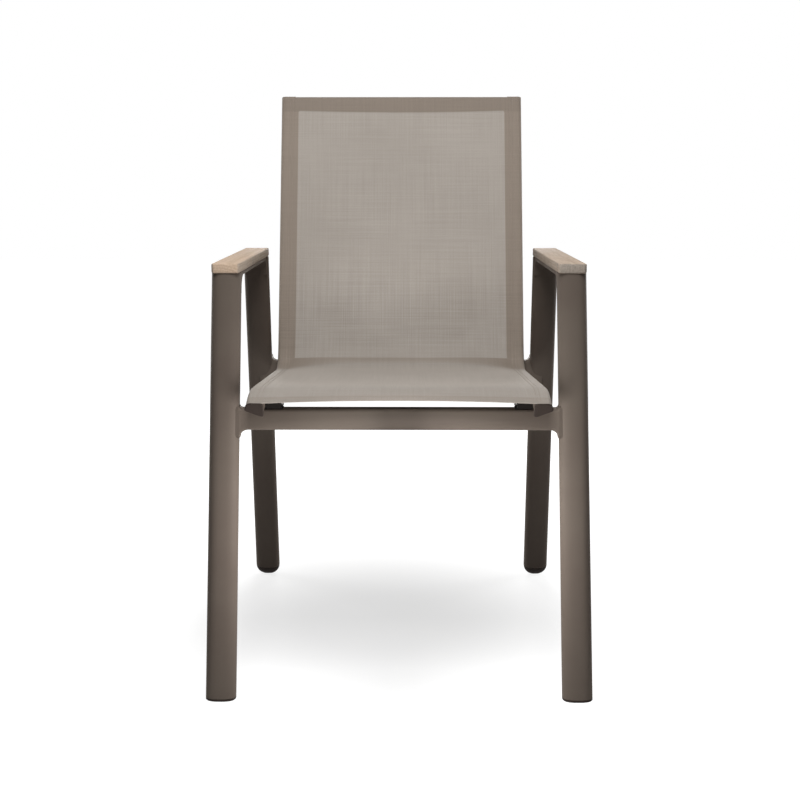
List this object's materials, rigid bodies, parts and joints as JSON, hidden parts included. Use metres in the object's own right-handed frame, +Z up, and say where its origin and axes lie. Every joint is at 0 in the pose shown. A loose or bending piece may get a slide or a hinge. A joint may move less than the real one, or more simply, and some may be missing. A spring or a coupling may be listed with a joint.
{
  "type": "sling patio chair",
  "caption": "Outdoor armchair with an aluminium tube frame, a tensioned textile sling for seat and back, and wooden slat armrests.",
  "frame": {"origin": "on the floor, in the middle of the chair's bounding box in plan", "axes": "+Z up; the chair faces -Y, so +Y points to its back; +X is to the right of a viewer who stands in front of it, and nodes named left are on -X"},
  "size_m": [0.5686, 0.6344, 0.8934],
  "materials": {
    "frame_paint": "fine-grained taupe-bronze powder coat on aluminium",
    "armrest_wood": "pale oiled slats with fine grain along the arm",
    "sling_cloth": "open-weave coated polyester textile, matte, slightly see-through",
    "end_plastic": "fine-textured dark brown moulding",
    "fastener_steel": "plain stainless steel"
  },
  "bodies": {
    "root": {"front_leg_left": "frame_paint", "front_leg_right": "frame_paint", "rear_leg_left": "frame_paint", "rear_leg_right": "frame_paint", "front_foot_left": "end_plastic", "front_foot_right": "end_plastic", "rear_foot_left": "end_plastic", "rear_foot_right": "end_plastic", "arm_bar_left": "frame_paint", "arm_bar_right": "frame_paint", "armrest_left": "armrest_wood", "armrest_right": "armrest_wood", "armrest_screw_left_1": "fastener_steel", "armrest_screw_left_2": "fastener_steel", "armrest_screw_left_3": "fastener_steel", "armrest_screw_right_1": "fastener_steel", "armrest_screw_right_2": "fastener_steel", "armrest_screw_right_3": "fastener_steel", "sling_rail_left": "frame_paint", "sling_rail_right": "frame_paint", "spline_left": "end_plastic", "spline_right": "end_plastic", "rail_front_cap_left": "end_plastic", "rail_front_cap_right": "end_plastic", "rail_top_plug_left": "end_plastic", "rail_top_plug_right": "end_plastic", "front_bracket_left": "end_plastic", "front_bracket_right": "end_plastic", "rear_bracket_left": "frame_paint", "rear_bracket_right": "frame_paint", "front_bolt_left": "fastener_steel", "front_bolt_right": "fastener_steel", "rear_bolt_left": "fastener_steel", "rear_bolt_right": "fastener_steel", "front_crossbar": "frame_paint", "rear_crossbar": "frame_paint", "back_top_bar": "frame_paint", "sling": "sling_cloth"}
  },
  "joints": []
}
